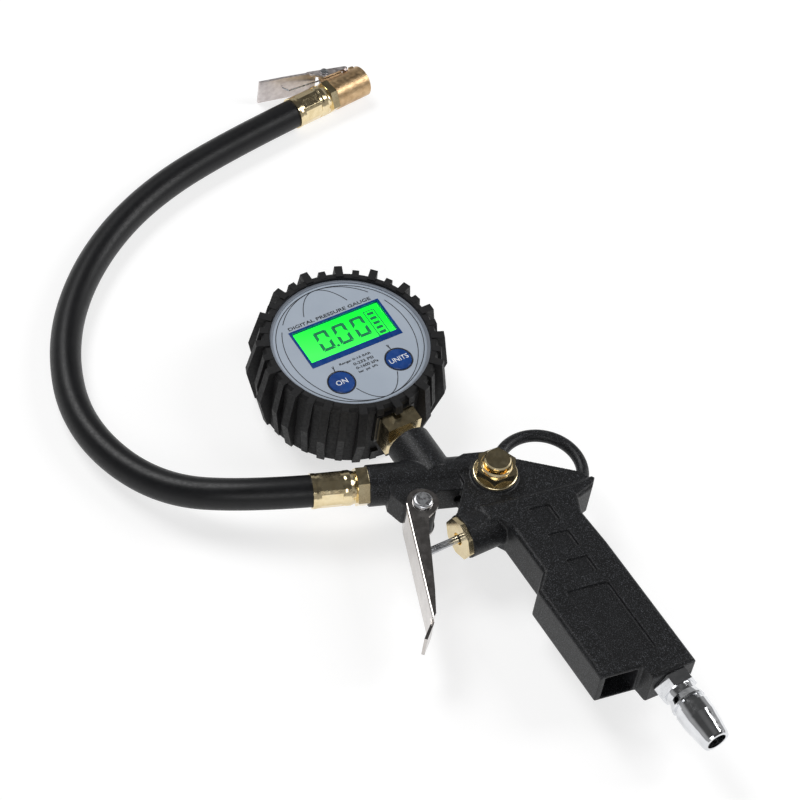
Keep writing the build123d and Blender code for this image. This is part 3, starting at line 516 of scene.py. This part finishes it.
def make_screen_marks():
    top = MARKS_TOP
    bm = bmesh.new()
    for x in (-11.3, -3.0, 5.3):
        digit_zero(bm, x, 1.0, 5.9, 10.3, 1.45, top)
    rect(bm, -4.9, 1.0, -3.7, 2.2, top)
    for step in range(5):
        rect(bm, 14.0, -0.7 + 2.55 * step, 16.9, 0.7 + 2.55 * step, top)
    frame_x0, frame_x1, frame_y0, frame_y1 = 12.9, 18.0, -1.7, 12.0
    for x0, y0, x1, y1 in (
            (frame_x0, frame_y0, frame_x0 + 0.45, frame_y1),
            (frame_x1 - 0.45, frame_y0, frame_x1, frame_y1),
            (frame_x0 + 0.5, frame_y0, frame_x1 - 0.5, frame_y0 + 0.4),
            (frame_x0 + 0.5, frame_y1 - 0.4, frame_x1 - 0.5, frame_y1)):
        rect(bm, x0, y0, x1, y1, top)
    solid_from("screen_marks", bm, 0.06, "lcd_green", "digit")


def lettering(bm, words, x, y, wide, tall, z):
    """Words set flat on the dial: left end and base line at (x, y), in millimetres."""
    curve = bpy.data.curves.new("words", "FONT")
    curve.body = words
    curve.resolution_u = 3
    curve.offset = 0.014
    holder = link("words", curve)
    seen = holder.evaluated_get(bpy.context.evaluated_depsgraph_get())
    mesh = bpy.data.meshes.new_from_object(seen)
    bpy.data.objects.remove(holder)
    across = [v.co.x for v in mesh.vertices]
    rise = [v.co.y for v in mesh.vertices]
    low_x, low_y = min(across), min(rise)
    scale_x = wide / (max(across) - low_x)
    scale_y = tall / (max(rise) - low_y)
    for vertex in mesh.vertices:
        vertex.co = dial_point(x + (vertex.co.x - low_x) * scale_x,
                               y + (vertex.co.y - low_y) * scale_y, z)
    bm.from_mesh(mesh)
    bpy.data.meshes.remove(mesh)


def ring(bm, x, y, inner, outer, z, steps=64):
    loops = []
    for radius in (inner, outer):
        loops.append([bm.verts.new(dial_point(x + radius * cos(2 * pi * k / steps),
                                              y + radius * sin(2 * pi * k / steps), z))
                      for k in range(steps)])
    for k in range(steps):
        after = (k + 1) % steps
        bm.faces.new((loops[0][k], loops[1][k], loops[1][after], loops[0][after]))


def make_dial_print():
    """Generic wording only: what the dial shows, its range and its two buttons."""
    bm = bmesh.new()
    lettering(bm, "DIGITAL PRESSURE GAUGE", -19.0, 15.7, 38.0, 1.6, PRINT_TOP)
    rows = (("Range: 0-16 BAR", -9.6, -8.7, 14.4), ("0-232 PSI", -4.4, -10.9, 9.0),
            ("0-1600 kPa", -4.4, -13.1, 10.0), ("bar  psi  kPa", -4.4, -15.3, 8.6))
    for words, x, y, wide in rows:
        lettering(bm, words, x, y, wide, 1.35, PRINT_TOP)
    solid_from("dial_print", bm, PRINT_THICK, "face_print", "ink")

    bm = bmesh.new()
    for x in (-BUTTON_X, BUTTON_X):
        ring(bm, x, BUTTON_Y, 5.45, 5.85, PRINT_TOP)
    for side in (-1, 1):
        stroke = [(side * (BUTTON_X - 0.2), BUTTON_Y + 5.9),
                  (side * (BUTTON_X - 0.9), BUTTON_Y + 8.4)]
        strip(bm, stroke, LINE_WIDE, PRINT_TOP)
    solid_from("button_rings", bm, PRINT_THICK, "face_print", "ink")

    bm = bmesh.new()
    lettering(bm, "ON", -BUTTON_X - 2.5, BUTTON_Y - 1.3, 5.0, 2.5, WORD_TOP)
    solid_from("on_word", bm, 0.06, "button_plastic", "white_ink", "on_button")
    bm = bmesh.new()
    lettering(bm, "UNITS", BUTTON_X - 4.2, BUTTON_Y - 1.1, 8.4, 2.3, WORD_TOP)
    solid_from("units_word", bm, 0.06, "button_plastic", "white_ink", "units_button")


make_dial_lines()
make_screen_marks()
make_dial_print()


# ---------------------------------------------------------------- floor and light
def make_floor():
    bm = bmesh.new()
    size = 6.0
    bm.faces.new([bm.verts.new((x * size, y * size, -0.0002))
                  for x, y in ((-1, -1), (1, -1), (1, 1), (-1, 1))])
    mesh = bpy.data.meshes.new("floor")
    bm.to_mesh(mesh)
    bm.free()
    floor = link("floor", mesh)
    material = surface("floor", blotched((0.40, 0.40, 0.40), (0.42, 0.42, 0.42), 0.004),
                       blotched(0.75, 0.85, 0.01), None, spec=0.1)
    shader = material.node_tree.nodes["Principled BSDF"]
    shader.inputs["Emission Color"].default_value = (1.0, 1.0, 1.0, 1.0)
    shader.inputs["Emission Strength"].default_value = 0.68
    floor.data.materials.append(material)


def area_light(name, place, size, power, tint=(1.0, 1.0, 1.0), aim=(0.0, 0.05, 0.02)):
    data = bpy.data.lights.new(name, "AREA")
    data.shape = "RECTANGLE"
    data.size = size[0]
    data.size_y = size[1]
    data.energy = power
    data.color = tint
    lamp = bpy.data.objects.new(name, data)
    lamp.location = place
    direction = Vector(aim) - Vector(place)
    lamp.rotation_euler = direction.to_track_quat("-Z", "Y").to_euler()
    bpy.context.scene.collection.objects.link(lamp)


def make_studio():
    """A white room with a dark ceiling: bright rims on the edges, deep blacks on top."""
    world = bpy.data.worlds.new("studio")
    world.use_nodes = True
    tree = world.node_tree
    coords = add(tree, "ShaderNodeTexCoord")
    split = add(tree, "ShaderNodeSeparateXYZ")
    tree.links.new(coords.outputs["Generated"], split.inputs["Vector"])
    height = ramp(tree, split.outputs["Z"],
                  [(0.0, 0.85), (0.38, 0.85), (0.60, 0.16), (0.93, 0.16), (1.0, 0.30)])
    background = tree.nodes["Background"]
    tree.links.new(height, background.inputs["Color"])
    background.inputs["Strength"].default_value = 0.42
    bpy.context.scene.world = world


make_floor()
make_studio()
area_light("key", (-0.5, 0.7, 1.1), (0.7, 0.5), 9.0)
area_light("side", (0.9, 0.1, 0.7), (0.4, 0.7), 6.0)
area_light("front", (-0.3, -1.0, 0.8), (0.8, 0.4), 4.0)
bpy.context.scene.view_settings.view_transform = "Standard"
